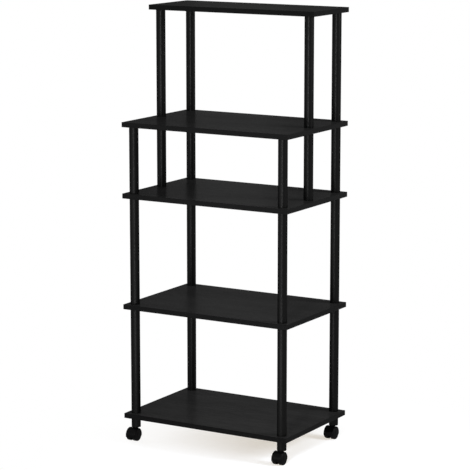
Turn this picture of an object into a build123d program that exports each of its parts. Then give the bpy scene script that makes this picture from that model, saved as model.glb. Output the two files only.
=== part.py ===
import os

from build123d import *

# Boards
board_width = 600.0
board_depth = 395.0
top_board_depth = 232.0
board_thickness = 16.0
band_thickness = 1.0
band_edge_radius = 0.6

# Tubes
tube_diameter = 30.0
tube_wall = 1.5
tube_end_break = 0.3
tall_tube_length = 344.5
short_tube_length = 212.5
leg_length = 30.6
post_inset_side = 29.0
post_inset_front = 25.5

# Plugs in the tube ends, and the inserts that take them where no tube carries on
plug_length = 12.0
stud_diameter = 16.0
stud_wall = 3.0
stud_end_wall = 2.0
stud_chamfer = 1.0
stud_reach = 11.0
insert_wall = 3.0
insert_cover = 5.0
insert_floor = 1.0

# Caster wheels and axle
wheel_diameter = 40.0
wheel_width = 14.0
wheel_gap = 10.0
wheel_crown = 1.4
wheel_shoulder_radius = 2.6
wheel_inner_chamfer = 0.6
hub_cap_diameter = 14.0
hub_cap_step = 0.5
rim_wall = 2.6
face_wall = 2.2
hub_wall = 2.7
rib_count = 6
rib_thickness = 1.6
rib_setback = 3.0
axle_diameter = 5.0
axle_chamfer = 0.5
axle_groove_depth = 0.4
axle_groove_width = 1.6
axle_groove_inset = 1.6

# Caster hood, stem and retaining ring
caster_trail = 15.0
hood_width = 34.0
hood_wall = 1.7
hood_edge_radius = 1.4
hood_bottom = 13.5
hood_headroom = 0.4
neck_diameter = 13.0
stem_diameter = 8.0
stem_chamfer = 1.0
stem_groove_depth = 0.8
spigot_diameter = 6.0
spigot_length = 15.0
flange_diameter = 12.0
flange_thickness = 1.0
ring_thickness = 1.2
ring_wall = 1.2
ring_split = 3.5
ring_from_tip = 3.5

# Clearances at the sides of pieces
push_clearance = 0.05
thread_clearance = 0.2
board_hole_clearance = 0.3
running_clearance = 0.05
snap_clearance = 0.2
tread_clearance = 0.8
wheel_side_clearance = 0.5

# Gaps at the ends of pieces
stud_end_gap = 0.5
leg_plug_end_gap = 1.5
stem_tip_gap = 2.0
swivel_end_gap = 0.3
axle_end_gap = 0.4
band_joint_gap = 0.05

# The most of a wall's thickness that a rounded edge takes
most_rounding = 0.9

# Radii that several pieces share
tube_radius = tube_diameter / 2
tube_bore_radius = tube_radius - tube_wall
plug_radius = tube_bore_radius - push_clearance
stud_radius = stud_diameter / 2
thread_bore_radius = stud_radius + thread_clearance
insert_radius = thread_bore_radius + insert_wall
wheel_radius = wheel_diameter / 2
pocket_radius = wheel_radius + tread_clearance
hood_radius = pocket_radius + hood_wall
axle_radius = axle_diameter / 2
axle_groove_radius = axle_radius - axle_groove_depth
hub_bore_radius = axle_radius + running_clearance
hub_radius = hub_bore_radius + hub_wall
stem_radius = stem_diameter / 2
spigot_radius = spigot_diameter / 2
stem_groove_radius = stem_radius - stem_groove_depth
ring_inner_radius = stem_groove_radius + snap_clearance
ring_outer_radius = ring_inner_radius + ring_wall

# Depths of the inserts and studs
insert_depth = board_thickness - insert_cover
long_stud_height = board_thickness + stud_reach
short_stud_height = insert_depth - insert_floor - stud_end_gap

# Heights above the floor
caster_height = wheel_radius + hood_radius + hood_headroom
flange_top = caster_height - swivel_end_gap
neck_top = flange_top - flange_thickness
socket_length = leg_length - plug_length - leg_plug_end_gap
stem_top = caster_height + socket_length - stem_tip_gap
ring_bottom = stem_top - ring_from_tip - ring_thickness
ring_top = ring_bottom + ring_thickness

# Plan positions of the tubes; the front of the cart faces -Y
post_x = board_width / 2 - post_inset_side
front_y = -board_depth / 2 + post_inset_front
back_y = board_depth / 2 - post_inset_front
centre_y = board_depth / 2 - top_board_depth + post_inset_front
spots = {
    "front_left": (-post_x, front_y),
    "front_right": (post_x, front_y),
    "centre_left": (-post_x, centre_y),
    "centre_right": (post_x, centre_y),
    "back_left": (-post_x, back_y),
    "back_right": (post_x, back_y),
}
fronts = ["front_left", "front_right"]
centres = ["centre_left", "centre_right"]
backs = ["back_left", "back_right"]
corners = fronts + backs

# From the floor up: a row of tubes, their length and places, and the board that lies on them
rows = [
    ("leg", leg_length, corners, "bottom_shelf", board_depth),
    ("bottom_post", tall_tube_length, corners, "lower_shelf", board_depth),
    ("lower_post", tall_tube_length, corners, "middle_shelf", board_depth),
    ("middle_post", short_tube_length, corners + centres, "upper_shelf", board_depth),
    ("upper_post", tall_tube_length, centres + backs, "top_shelf", top_board_depth),
]


def save(piece, name):
    piece.label = name
    export_step(piece, f"parts/{name}.step")


def copies(piece, points):
    with BuildPart() as copied:
        with Locations(*points):
            add(piece)
    return copied.part


# A piece turned about the upright axis, from its half section as (radius, height) points
def turned(*points):
    with BuildPart() as piece:
        with BuildSketch(Plane.XZ):
            with BuildLine():
                Polyline(*points, close=True)
            make_face()
        revolve(axis=Axis.Z)
    return piece.part


def make_tube(place, bottom, length):
    with BuildPart() as tube:
        with BuildSketch(Plane((*place, bottom))):
            Circle(tube_radius)
            Circle(tube_bore_radius, mode=Mode.SUBTRACT)
        extrude(amount=length)
        rims = tube.edges().filter_by(GeomType.CIRCLE).group_by(SortBy.RADIUS)[-1]
        chamfer(rims, tube_end_break)
    return tube.part


# A board's core: through holes where tubes meet above and below it, blind pockets where one side has none
def make_core(bottom, depth, through, only_below, only_above):
    pocket = insert_radius + push_clearance
    with BuildPart() as core:
        with BuildSketch(Plane((0, (board_depth - depth) / 2, bottom))):
            Rectangle(board_width - 2 * band_thickness, depth - 2 * band_thickness)
        extrude(amount=board_thickness)
        for places, level, radius, cut in (
            (through, bottom, stud_radius + board_hole_clearance, board_thickness),
            (only_below, bottom, pocket, insert_depth),
            (only_above, bottom + board_thickness, pocket, -insert_depth),
        ):
            for place in places:
                with BuildSketch(Plane((*spots[place], level))):
                    Circle(radius)
                extrude(amount=cut, mode=Mode.SUBTRACT)
    return core.part


# Four strips round a board, rounded on their outer edges; front and back cover the ends of the sides
def make_bands(bottom, depth):
    middle_y = (board_depth - depth) / 2
    middle_z = bottom + board_thickness / 2
    core_x = board_width / 2 - band_thickness
    core_y = depth / 2 - band_thickness
    side_y = core_y - band_joint_gap
    rounding = min(band_edge_radius, most_rounding * band_thickness)
    with BuildPart() as bands:
        for side in (-1, 1):
            end_strip = ((-board_width / 2, middle_y + side * core_y, middle_z), (0, side, 0), (1, 0, 0))
            side_strip = ((side * core_x, middle_y - side_y, middle_z), (side, 0, 0), (0, 1, 0))
            for (start, outward, along), length in ((end_strip, board_width), (side_strip, 2 * side_y)):
                with BuildSketch(Plane(start, x_dir=outward, z_dir=along)) as strip:
                    Rectangle(band_thickness, board_thickness, align=(Align.MIN, Align.CENTER))
                    fillet(strip.vertices().group_by(Axis.X)[-1], rounding)
                extrude(amount=length)
    return bands.part


# A hollow stud that stands on a base let into a tube or a board, with the top of the base at height 0
def make_stud(base_radius, base_depth, height):
    bore_radius = stud_radius - stud_wall
    return turned(
        (bore_radius, -base_depth),
        (base_radius, -base_depth),
        (base_radius, 0),
        (stud_radius, 0),
        (stud_radius, height - stud_chamfer),
        (stud_radius - stud_chamfer, height),
        (0, height),
        (0, height - stud_end_wall),
        (bore_radius, height - stud_end_wall),
    )


os.makedirs("parts", exist_ok=True)

# Tubes, boards and edge bands, row by row
socket_points = []
long_stud_points = []
short_stud_points = []
stud_insert_points = []
level = caster_height
for row, (tube_name, length, places, shelf_name, depth) in enumerate(rows):
    above = rows[row + 1][2] if row + 1 < len(rows) else []
    through = [place for place in places if place in above]
    only_below = [place for place in places if place not in above]
    only_above = [place for place in above if place not in places]
    for place in places:
        save(make_tube(spots[place], level, length), f"{tube_name}_{place}")
    underside = level + length
    level = underside + board_thickness
    save(make_core(underside, depth, through, only_below, only_above), shelf_name)
    save(make_bands(underside, depth), f"{shelf_name}_edge_bands")
    socket_points += [(*spots[place], level) for place in above]
    long_stud_points += [(*spots[place], underside) for place in through]
    short_stud_points += [(*spots[place], underside) for place in only_below]
    stud_insert_points += [(*spots[place], level) for place in only_above]

# Plugs in the tube ends, and the inserts in the boards
socket_plug = turned(
    (thread_bore_radius, 0),
    (plug_radius, 0),
    (plug_radius, plug_length),
    (thread_bore_radius, plug_length),
)
save(copies(socket_plug, socket_points), "socket_plugs")
save(copies(make_stud(plug_radius, plug_length, long_stud_height), long_stud_points), "long_stud_plugs")
save(copies(make_stud(plug_radius, plug_length, short_stud_height), short_stud_points), "short_stud_plugs")
nut_insert = turned(
    (thread_bore_radius, 0),
    (insert_radius, 0),
    (insert_radius, insert_depth),
    (0, insert_depth),
    (0, insert_depth - insert_floor),
    (thread_bore_radius, insert_depth - insert_floor),
)
save(copies(nut_insert, short_stud_points), "nut_inserts")
save(copies(make_stud(insert_radius, insert_depth, stud_reach), stud_insert_points), "stud_inserts")

# What follows is one caster with its stem on the Z axis, wheels trailing towards the front
axle_centre = (0, -caster_trail, wheel_radius)
axle_axis = Axis(axle_centre, (1, 0, 0))
across = Plane(axle_centre, x_dir=(1, 0, 0), z_dir=(0, -1, 0))
web_half = wheel_gap / 2 - wheel_side_clearance
wheel_inside = wheel_gap / 2
wheel_outside = wheel_inside + wheel_width
axle_half = wheel_outside - face_wall - axle_end_gap
groove_outer = axle_half - axle_groove_inset
groove_inner = groove_outer - axle_groove_width

# The hood: a round cover over both wheels, a web between them and a round neck for the stem
with BuildPart() as hood:
    with BuildSketch(across) as cover:
        Rectangle(hood_width, hood_radius, align=(Align.CENTER, Align.MIN))
        fillet(cover.vertices().group_by(Axis.Y)[-1], min(hood_edge_radius, most_rounding * hood_wall))
    revolve(axis=axle_axis)
    with BuildSketch(Plane.XY.offset(neck_top)):
        Circle(neck_diameter / 2)
    extrude(amount=-neck_top)
    for side in (-1, 1):
        with BuildSketch(Plane((side * web_half, *axle_centre[1:]), x_dir=(0, 1, 0), z_dir=(side, 0, 0))):
            Circle(pocket_radius)
        extrude(amount=hood_width, mode=Mode.SUBTRACT)
    split(bisect_by=Plane.XY.offset(hood_bottom), keep=Keep.TOP)
    with BuildSketch(Plane(axle_centre, x_dir=(0, 1, 0), z_dir=(1, 0, 0))):
        Circle(axle_radius + push_clearance)
    extrude(amount=wheel_gap, both=True, mode=Mode.SUBTRACT)
    with BuildSketch(Plane.XY.offset(neck_top)):
        Circle(spigot_radius + push_clearance)
    extrude(amount=-spigot_length, mode=Mode.SUBTRACT)

# The right wheel: a ribbed cup whose hub snaps into the groove of the axle
with BuildPart() as right_wheel:
    bead_radius = axle_groove_radius + snap_clearance
    face_x = wheel_outside - wheel_crown
    shoulder = (face_x, wheel_radius)
    with BuildSketch(across) as section:
        with BuildLine():
            Polyline(
                shoulder,
                (wheel_inside + wheel_inner_chamfer, wheel_radius),
                (wheel_inside, wheel_radius - wheel_inner_chamfer),
                (wheel_inside, wheel_radius - rim_wall),
                (face_x - face_wall, wheel_radius - rim_wall),
                (wheel_outside - face_wall, hub_radius),
                (wheel_inside, hub_radius),
                (wheel_inside, hub_bore_radius),
                (groove_inner + snap_clearance, hub_bore_radius),
                (groove_inner + snap_clearance, bead_radius),
                (groove_outer - snap_clearance, bead_radius),
                (groove_outer - snap_clearance, hub_bore_radius),
                (axle_half + axle_end_gap, hub_bore_radius),
                (axle_half + axle_end_gap, 0),
                (wheel_outside, 0),
                (wheel_outside, hub_cap_diameter / 2),
                (wheel_outside - hub_cap_step, hub_cap_diameter / 2),
                close=True,
            )
        make_face()
        fillet(section.vertices().sort_by_distance(shoulder)[0], wheel_shoulder_radius)
    revolve(axis=axle_axis)
    rib_start = wheel_inside + rib_setback
    rib_length = wheel_radius - rim_wall - hub_radius
    with BuildSketch(Plane((rib_start, *axle_centre[1:]), x_dir=(0, 1, 0), z_dir=(1, 0, 0))):
        with PolarLocations(hub_radius + rib_length / 2, rib_count):
            Rectangle(rib_length + rim_wall / 2, rib_thickness)
    extrude(amount=wheel_outside - face_wall - rib_start)

with BuildPart() as left_wheel:
    mirror(right_wheel.part, about=Plane.YZ)

# The axle: a plain pin with a snap groove near each end
with BuildPart() as axle:
    with BuildSketch(Plane(axle_centre, x_dir=(0, 1, 0), z_dir=(1, 0, 0))):
        Circle(axle_radius)
    extrude(amount=axle_half, both=True)
    chamfer(axle.edges().filter_by(GeomType.CIRCLE), axle_chamfer)
    for start in (groove_inner, -groove_outer):
        with BuildSketch(Plane((start, *axle_centre[1:]), x_dir=(0, 1, 0), z_dir=(1, 0, 0))):
            Circle(axle_radius)
            Circle(axle_groove_radius, mode=Mode.SUBTRACT)
        extrude(amount=axle_groove_width, mode=Mode.SUBTRACT)

# The stem: spigot in the hood, flange on the neck, pin in the leg's socket with a groove for the ring
stem = turned(
    (0, neck_top - spigot_length),
    (spigot_radius, neck_top - spigot_length),
    (spigot_radius, neck_top),
    (flange_diameter / 2, neck_top),
    (flange_diameter / 2, flange_top),
    (stem_radius, flange_top),
    (stem_radius, ring_bottom - snap_clearance),
    (stem_groove_radius, ring_bottom - snap_clearance),
    (stem_groove_radius, ring_top + snap_clearance),
    (stem_radius, ring_top + snap_clearance),
    (stem_radius, stem_top - stem_chamfer),
    (stem_radius - stem_chamfer, stem_top),
    (0, stem_top),
)

caster_pieces = {
    "hood": hood.part,
    "stem": stem,
    "axle": axle.part,
    "left_wheel": left_wheel.part,
    "right_wheel": right_wheel.part,
}
for place in corners:
    for piece_name, piece in caster_pieces.items():
        save(copies(piece, [spots[place]]), f"{place}_caster_{piece_name}")

# The socket in the foot of each leg, and the split ring that keeps the stem in it
corner_points = [spots[place] for place in corners]
socket_bore_radius = stem_radius + running_clearance
socket_groove_radius = ring_outer_radius + snap_clearance
caster_socket = turned(
    (socket_bore_radius, caster_height),
    (plug_radius, caster_height),
    (plug_radius, caster_height + socket_length),
    (socket_bore_radius, caster_height + socket_length),
    (socket_bore_radius, ring_top + snap_clearance),
    (socket_groove_radius, ring_top + snap_clearance),
    (socket_groove_radius, ring_bottom - snap_clearance),
    (socket_bore_radius, ring_bottom - snap_clearance),
)
save(copies(caster_socket, corner_points), "caster_sockets")

with BuildPart() as ring:
    with BuildSketch(Plane.XY.offset(ring_bottom)):
        Circle(ring_outer_radius)
        Circle(ring_inner_radius, mode=Mode.SUBTRACT)
        with Locations((0, ring_outer_radius)):
            Rectangle(ring_split, 2 * ring_outer_radius, mode=Mode.SUBTRACT)
    extrude(amount=ring_thickness)
save(copies(ring.part, corner_points), "retaining_rings")
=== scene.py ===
import math

import bpy
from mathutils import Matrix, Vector

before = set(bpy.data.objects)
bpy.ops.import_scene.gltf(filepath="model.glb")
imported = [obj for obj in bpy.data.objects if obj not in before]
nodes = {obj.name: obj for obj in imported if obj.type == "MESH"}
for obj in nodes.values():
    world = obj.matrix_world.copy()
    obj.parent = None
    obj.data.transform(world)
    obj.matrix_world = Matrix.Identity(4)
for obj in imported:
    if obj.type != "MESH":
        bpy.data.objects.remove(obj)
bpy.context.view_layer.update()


# Shader wiring: one output socket, and sums on it add Math nodes
class Wire:
    def __init__(self, tree, socket=None):
        self.tree = tree
        self.socket = socket

    def node(self, kind, settings=None, inputs=None, output=0):
        made = self.tree.nodes.new(kind)
        for name, value in (settings or {}).items():
            setattr(made, name, value)
        for name, value in (inputs or {}).items():
            if isinstance(value, Wire):
                self.tree.links.new(value.socket, made.inputs[name])
            else:
                made.inputs[name].default_value = value
        return Wire(self.tree, made.outputs[output] if made.outputs else None)

    def maths(self, operation, first, second):
        return self.node("ShaderNodeMath", {"operation": operation}, {0: first, 1: second})

    def __add__(self, other):
        return self.maths("ADD", self, other)

    def __radd__(self, other):
        return self.maths("ADD", other, self)

    def __sub__(self, other):
        return self.maths("SUBTRACT", self, other)

    def __rsub__(self, other):
        return self.maths("SUBTRACT", other, self)

    def __mul__(self, other):
        return self.maths("MULTIPLY", self, other)

    def __rmul__(self, other):
        return self.maths("MULTIPLY", other, self)


def newMaterial(name):
    material = bpy.data.materials.new(name)
    material.use_nodes = True
    material.node_tree.nodes.clear()
    return material, Wire(material.node_tree)


def outputTo(wire, shader):
    wire.node("ShaderNodeOutputMaterial", inputs={"Surface": shader})


# A texture is its scale along x, y and z, its detail and its roughness
def noise(wire, texture):
    spot = wire.node("ShaderNodeTexCoord", output="Object")
    place = wire.node("ShaderNodeMapping", inputs={"Vector": spot, "Scale": texture["scale"]})
    inputs = {"Vector": place, "Scale": 1.0, "Detail": texture["detail"], "Roughness": texture["rough"]}
    return wire.node("ShaderNodeTexNoise", inputs=inputs)


# Where a value lies between two ends, as a smooth 0 to 1
def between(wire, value, ends):
    low, high = ends
    span = {"Value": value, "From Min": low, "From Max": high}
    return wire.node("ShaderNodeMapRange", {"interpolation_type": "SMOOTHSTEP"}, span)


# The value at a share of the way from the first end to the second
def along(ends, share):
    low, high = ends
    return low + (high - low) * share


def apart(wire, place, centre):
    return wire.node("ShaderNodeVectorMath", {"operation": "DISTANCE"}, {0: place, 1: centre}, "Value")


def opaque(colour):
    return (*colour, 1.0)


# A Mix node's colour sockets go by number, because its value sockets have the same names
mixSockets = {"share": 0, "first": 6, "second": 7, "result": 2}


def tinted(wire, share, dark, light):
    mixed = {
        mixSockets["share"]: share,
        mixSockets["first"]: opaque(dark),
        mixSockets["second"]: opaque(light),
    }
    return wire.node("ShaderNodeMix", {"data_type": "RGBA"}, mixed, mixSockets["result"])


def bumped(wire, height, depth):
    return wire.node("ShaderNodeBump", inputs={"Height": height, "Distance": depth, "Strength": 1.0})


# Black plastics and laminate: a dull body under one thin clear skin, which alone gives the gloss
def skinned(wire, colour, roughness, normal, gloss, glossRoughness):
    shader = wire.node("ShaderNodeBsdfPrincipled", inputs={
        "Base Color": colour,
        "Roughness": roughness,
        "Specular IOR Level": 0.0,
        "Coat Weight": gloss,
        "Coat Roughness": glossRoughness,
        "Normal": normal,
    })
    outputTo(wire, shader)


def dress(material, *names):
    for name in names:
        nodes[name].data.materials.clear()
        nodes[name].data.materials.append(material)


def named(ending):
    return [name for name in nodes if name.endswith(ending)]


# Boards: black paper laminate with a pressed grain along the length
laminate = {
    "dark": (0.0129, 0.0129, 0.0130),
    "light": (0.0252, 0.0252, 0.0253),
    "clouds": {"scale": (3.0, 14.0, 14.0), "detail": 3.0, "rough": 0.5},
    "cloudShare": 0.25,
    "grain": {"scale": (22.0, 900.0, 900.0), "detail": 4.0, "rough": 0.6},
    "grainSpread": (0.36, 0.64),
    "pores": {"scale": (90.0, 2600.0, 2600.0), "detail": 2.0, "rough": 0.5},
    "poreSpread": (0.52, 0.66),
    "poreShade": 0.25,
    "poreDepth": 0.00003,
    "roughness": (0.55, 0.72),
    "gloss": 0.030,
    "glossRoughness": 0.26,
}


def boardLaminate():
    material, wire = newMaterial("boardLaminate")
    clouds = noise(wire, laminate["clouds"])
    grain = noise(wire, laminate["grain"])
    pores = between(wire, noise(wire, laminate["pores"]), laminate["poreSpread"])
    share = laminate["cloudShare"]
    figure = between(wire, share * clouds + (1 - share) * grain, laminate["grainSpread"])
    colour = tinted(wire, figure - laminate["poreShade"] * pores, laminate["dark"], laminate["light"])
    roughness = along(laminate["roughness"], grain)
    normal = bumped(wire, grain - pores, laminate["poreDepth"])
    skinned(wire, colour, roughness, normal, laminate["gloss"], laminate["glossRoughness"])
    return material


# Edge bands: a thin strip of black plastic, glossier than the board, with faint lines along it
banding = {
    "dark": (0.0021, 0.0021, 0.0022),
    "light": (0.0037, 0.0037, 0.0038),
    "lines": {"scale": (12.0, 12.0, 1500.0), "detail": 3.0, "rough": 0.6},
    "lineSpread": (0.3, 0.7),
    "lineDepth": 0.00002,
    "roughness": (0.45, 0.62),
    "gloss": 0.094,
    "glossRoughness": 0.3,
}


def edgeBanding():
    material, wire = newMaterial("edgeBanding")
    lines = noise(wire, banding["lines"])
    figure = between(wire, lines, banding["lineSpread"])
    colour = tinted(wire, figure, banding["dark"], banding["light"])
    roughness = along(banding["roughness"], lines)
    normal = bumped(wire, lines, banding["lineDepth"])
    skinned(wire, colour, roughness, normal, banding["gloss"], banding["glossRoughness"])
    return material


# Tubes: extruded black plastic with drawn lines up its height, half gloss that fades towards the rims
tubing = {
    "dark": (0.0013, 0.0013, 0.0013),
    "light": (0.0022, 0.0022, 0.0022),
    "drawn": {"scale": (1400.0, 1400.0, 5.0), "detail": 2.0, "rough": 0.5},
    "drawnSpread": (0.3, 0.7),
    "waves": {"scale": (60.0, 60.0, 14.0), "detail": 2.0, "rough": 0.5},
    "drawnDepth": 0.000006,
    "roughness": (0.42, 0.56),
    "gloss": (0.148, 0.171),
    "rimBlend": 0.5,
    "rimLoss": 0.9,
    "glossRoughness": 0.34,
}


def tubePlastic():
    material, wire = newMaterial("tubePlastic")
    drawn = noise(wire, tubing["drawn"])
    waves = noise(wire, tubing["waves"])
    figure = between(wire, drawn, tubing["drawnSpread"])
    colour = tinted(wire, figure, tubing["dark"], tubing["light"])
    roughness = along(tubing["roughness"], waves)
    normal = bumped(wire, drawn + waves, tubing["drawnDepth"])
    rim = wire.node("ShaderNodeLayerWeight", inputs={"Blend": tubing["rimBlend"]}, output="Facing")
    gloss = along(tubing["gloss"], waves) * (1 - tubing["rimLoss"] * rim)
    skinned(wire, colour, roughness, normal, gloss, tubing["glossRoughness"])
    return material


# Caster hoods and plugs: black nylon with a fine sparked skin
moulding = {
    "dark": (0.0014, 0.0014, 0.0015),
    "light": (0.0020, 0.0020, 0.0021),
    "skin": {"scale": (3200.0, 3200.0, 3200.0), "detail": 2.0, "rough": 0.5},
    "skinDepth": 0.000025,
    "flow": {"scale": (300.0, 300.0, 300.0), "detail": 3.0, "rough": 0.5},
    "flowSpread": (0.3, 0.7),
    "roughness": (0.40, 0.60),
    "gloss": 0.08,
    "glossRoughness": 0.32,
    "plugGlossRoughness": 0.45,
}


def mouldedNylon(name, glossRoughness):
    material, wire = newMaterial(name)
    skin = noise(wire, moulding["skin"])
    flow = noise(wire, moulding["flow"])
    figure = between(wire, flow, moulding["flowSpread"])
    colour = tinted(wire, figure, moulding["dark"], moulding["light"])
    roughness = along(moulding["roughness"], flow)
    normal = bumped(wire, skin, moulding["skinDepth"])
    skinned(wire, colour, roughness, normal, moulding["gloss"], glossRoughness)
    return material


# Caster wheels: the same nylon, with turned rings on the faces and a scuffed tread
rolling = {
    "face": (0.0, 1.0, 1.0),  # drops the place along the axle
    "hub": (0.0, 0.5, 0.5),  # the axle, in shares of the wheel's box
    "tread": (0.455, 0.490),  # radii in shares of the diameter
    "ringRate": 14.0,
    "ringFold": 1.0,
    "ringDepth": 0.00004,
    "scuffs": {"scale": (700.0, 700.0, 700.0), "detail": 5.0, "rough": 0.5},
    "scuffSpread": (0.50, 0.68),
    "scuffTint": (0.0144, 0.0142, 0.0138),
    "roughness": (0.42, 0.70),
}


def wheelNylon():
    material, wire = newMaterial("wheelNylon")
    spot = wire.node("ShaderNodeTexCoord", output="Generated")
    flat = wire.node("ShaderNodeVectorMath", {"operation": "MULTIPLY"}, {0: spot, 1: rolling["face"]})
    radius = apart(wire, flat, rolling["hub"])
    tread = between(wire, radius, rolling["tread"])
    rings = wire.maths("PINGPONG", rolling["ringRate"] * radius, rolling["ringFold"])
    scuffs = tread * between(wire, noise(wire, rolling["scuffs"]), rolling["scuffSpread"])
    colour = tinted(wire, scuffs, moulding["light"], rolling["scuffTint"])
    roughness = along(rolling["roughness"], tread)
    normal = bumped(wire, rings * (1 - tread) + scuffs, rolling["ringDepth"])
    skinned(wire, colour, roughness, normal, moulding["gloss"], moulding["glossRoughness"])
    return material


# Steel: zinc plate on stems and axles, bright spring steel on the rings
steel = {
    "zincDark": (0.42, 0.43, 0.45),
    "zincLight": (0.62, 0.63, 0.64),
    "springDark": (0.34, 0.34, 0.36),
    "springLight": (0.46, 0.46, 0.48),
    "spangle": {"scale": (500.0, 500.0, 500.0), "detail": 4.0, "rough": 0.6},
    "spangleSpread": (0.3, 0.7),
    "roughness": (0.24, 0.42),
}


def metal(name, dark, light):
    material, wire = newMaterial(name)
    spangle = noise(wire, steel["spangle"])
    figure = between(wire, spangle, steel["spangleSpread"])
    shader = wire.node("ShaderNodeBsdfPrincipled", inputs={
        "Base Color": tinted(wire, figure, dark, light),
        "Roughness": along(steel["roughness"], spangle),
        "Metallic": 1.0,
    })
    outputTo(wire, shader)
    return material


tubes = [name for name in nodes if "_post_" in name or name.startswith("leg_")]
plugNylon = mouldedNylon("plugNylon", moulding["plugGlossRoughness"])
dress(boardLaminate(), *named("_shelf"))
dress(edgeBanding(), *named("_edge_bands"))
dress(tubePlastic(), *tubes)
dress(mouldedNylon("hoodNylon", moulding["glossRoughness"]), *named("_caster_hood"))
dress(wheelNylon(), *named("_wheel"))
dress(plugNylon, *named("_plugs"), *named("_inserts"), "caster_sockets")
dress(metal("zincSteel", steel["zincDark"], steel["zincLight"]), *named("_stem"), *named("_axle"))
dress(metal("springSteel", steel["springDark"], steel["springLight"]), "retaining_rings")
print("finishes on every piece")


# Floor and backdrop: white to the camera and in reflections; near the cart the glow drops to a painted warm
# shade, centred to the front right of the cart, and the lamps' real shadow shows on it
stage = {
    "size": 40.0,
    "tone": (0.85, 0.85, 0.85),  # the floor that bounces light
    "paintedShade": (0.525, 0.46, 0.37),  # what the deepest shadow shows
    "lit": (0.67, 0.76, 0.887),  # what the lamps add to the shade
    "white": (1.0, 1.0, 1.0),
    "whiteStrength": 1.0,
    "paintedShadeCentre": (0.33, -0.14, 0.0),
    "paintedShadeEnd": (0.02, 0.86),  # metres from the centre over which the shade turns white
    "ambient": 0.155,
}


def seenRays(wire):
    kinds = ("Is Camera Ray", "Is Glossy Ray", "Is Transmission Ray")
    camera, glossy, through = [wire.node("ShaderNodeLightPath", output=kind) for kind in kinds]
    return camera, glossy + through


def mixedShaders(wire, share, first, second):
    return wire.node("ShaderNodeMixShader", inputs={0: share, 1: first, 2: second})


def paleFloor():
    material, wire = newMaterial("paleFloor")
    spot = wire.node("ShaderNodeTexCoord", output="Object")
    far = between(wire, apart(wire, spot, stage["paintedShadeCentre"]), stage["paintedShadeEnd"])
    plain = wire.node("ShaderNodeBsdfDiffuse", inputs={"Color": opaque(stage["tone"])})
    # Painted shade: a dim warm glow around the shade centre; the lamps' light adds on top, so their real
    # shadow darkens it down to this glow
    paintedShadeGlow = wire.node("ShaderNodeEmission", inputs={"Color": opaque(stage["paintedShade"])})
    lit = wire.node("ShaderNodeBsdfDiffuse", inputs={"Color": opaque(stage["lit"])})
    near = wire.node("ShaderNodeAddShader", inputs={0: paintedShadeGlow, 1: lit})
    bright = {"Color": opaque(stage["white"]), "Strength": stage["whiteStrength"]}
    white = wire.node("ShaderNodeEmission", inputs=bright)
    camera, mirrored = seenRays(wire)
    seen = mixedShaders(wire, far, near, white)
    unseen = mixedShaders(wire, mirrored, plain, white)
    outputTo(wire, mixedShaders(wire, camera, unseen, seen))
    return material


def makeFloor():
    half = stage["size"] / 2
    mesh = bpy.data.meshes.new("floor")
    corners = [(-half, -half, 0), (half, -half, 0), (half, half, 0), (-half, half, 0)]
    mesh.from_pydata(corners, [], [(0, 1, 2, 3)])
    mesh.materials.append(paleFloor())
    floor = bpy.data.objects.new("floor", mesh)
    bpy.context.scene.collection.objects.link(floor)


def makeWorld():
    world = bpy.data.worlds.new("studio")
    world.use_nodes = True
    world.node_tree.nodes.clear()
    wire = Wire(world.node_tree)
    ambient = wire.node("ShaderNodeBackground", inputs={"Strength": stage["ambient"]})
    bright = {"Color": opaque(stage["white"]), "Strength": stage["whiteStrength"]}
    white = wire.node("ShaderNodeBackground", inputs=bright)
    camera, mirrored = seenRays(wire)
    mixed = mixedShaders(wire, camera + mirrored, ambient, white)
    wire.node("ShaderNodeOutputWorld", inputs={"Surface": mixed})
    bpy.context.scene.world = world


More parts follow.
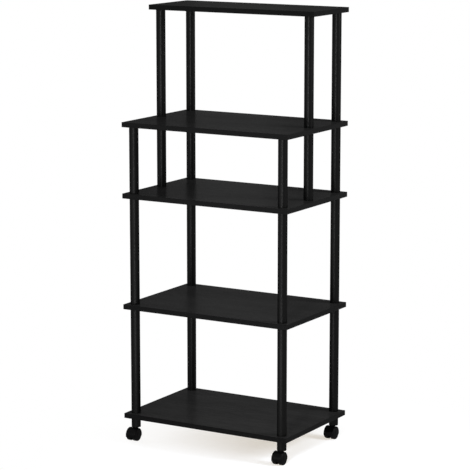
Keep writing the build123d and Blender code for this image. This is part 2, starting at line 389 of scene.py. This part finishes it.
# Soft boxes round the cart: azimuth 0 is straight in front, 90 on the right
lamps = {
    # Wide light from the front and both sides
    "front": {"azimuth": 30.0, "elevation": 36.0, "distance": 4.5, "size": (2.0, 1.6), "watts": 36.0},
    "right": {"azimuth": 102.0, "elevation": 22.0, "distance": 4.4, "size": (1.6, 1.6), "watts": 172.0},
    "left": {"azimuth": -78.0, "elevation": 26.0, "distance": 4.6, "size": (2.0, 2.0), "watts": 51.0},
    # Highlights down the tubes, a broad gloss on tubes and edge bands, and light on the casters
    "strip": {"azimuth": 17.0, "elevation": 0.0, "distance": 2.2, "size": (0.15, 1.32), "watts": 12.0},
    "crown": {"azimuth": 19.0, "elevation": 11.0, "distance": 2.2, "size": (0.15, 0.4), "watts": 8.6},
    "panel": {"azimuth": -6.0, "elevation": -3.0, "distance": 2.2, "size": (2.8, 1.06), "watts": 14.5},
    "foot": {"azimuth": 14.0, "elevation": -30.0, "distance": 1.1, "size": (0.7, 0.2), "watts": 2.2},
    # Highlights on the back of the tubes, and a low sheen on the boards, most on the middle one
    "back": {"azimuth": 245.0, "elevation": 0.0, "distance": 2.2, "size": (0.15, 1.32), "watts": 10.0},
    "sheen": {"azimuth": 210.0, "elevation": 10.0, "distance": 1.7, "size": (0.36, 1.5), "watts": 0.75},
    "middle": {"azimuth": 214.0, "elevation": 14.3, "distance": 1.755, "size": (0.45, 0.26), "watts": 0.32},
    "backRight": {"azimuth": 150.0, "elevation": -3.0, "distance": 3.0, "size": (0.5, 1.0), "watts": 1.2},
}
aimHeight = 0.68  # where every lamp points, in metres above the floor


def fromCart(azimuth, elevation, distance, height):
    turn = math.radians(azimuth)
    lift = math.radians(elevation)
    outward = Vector((math.sin(turn) * math.cos(lift), -math.cos(turn) * math.cos(lift), math.sin(lift)))
    return Vector((0.0, 0.0, height)) + outward * distance, (-outward).to_track_quat("-Z", "Y")


def makeLamps():
    for name, lamp in lamps.items():
        data = bpy.data.lights.new(name, "AREA")
        data.shape = "RECTANGLE"
        data.size, data.size_y = lamp["size"]
        data.energy = lamp["watts"]
        light = bpy.data.objects.new(name, data)
        light.rotation_mode = "QUATERNION"
        place = fromCart(lamp["azimuth"], lamp["elevation"], lamp["distance"], aimHeight)
        light.location, light.rotation_quaternion = place
        light.visible_camera = False
        bpy.context.scene.collection.objects.link(light)


# Camera: a long lens from the front right, looking down a little, with no shift
shot = {
    "azimuth": 30.57,
    "elevation": 10.355,
    "distance": 6.791,
    "height": 0.6731,
    "lens": 162.5,
    "sensor": 36.0,
    "clipEnd": 100.0,
}


def makeCamera():
    data = bpy.data.cameras.new("shot")
    data.sensor_width = shot["sensor"]
    data.lens = shot["lens"]
    data.clip_end = shot["clipEnd"]
    camera = bpy.data.objects.new("shot", data)
    camera.rotation_mode = "QUATERNION"
    place = fromCart(shot["azimuth"], shot["elevation"], shot["distance"], shot["height"])
    camera.location, camera.rotation_quaternion = place
    bpy.context.scene.collection.objects.link(camera)
    bpy.context.scene.camera = camera


makeFloor()
makeWorld()
makeLamps()
makeCamera()
bpy.context.scene.view_settings.view_transform = "Standard"
print("stage, lamps and camera in place")
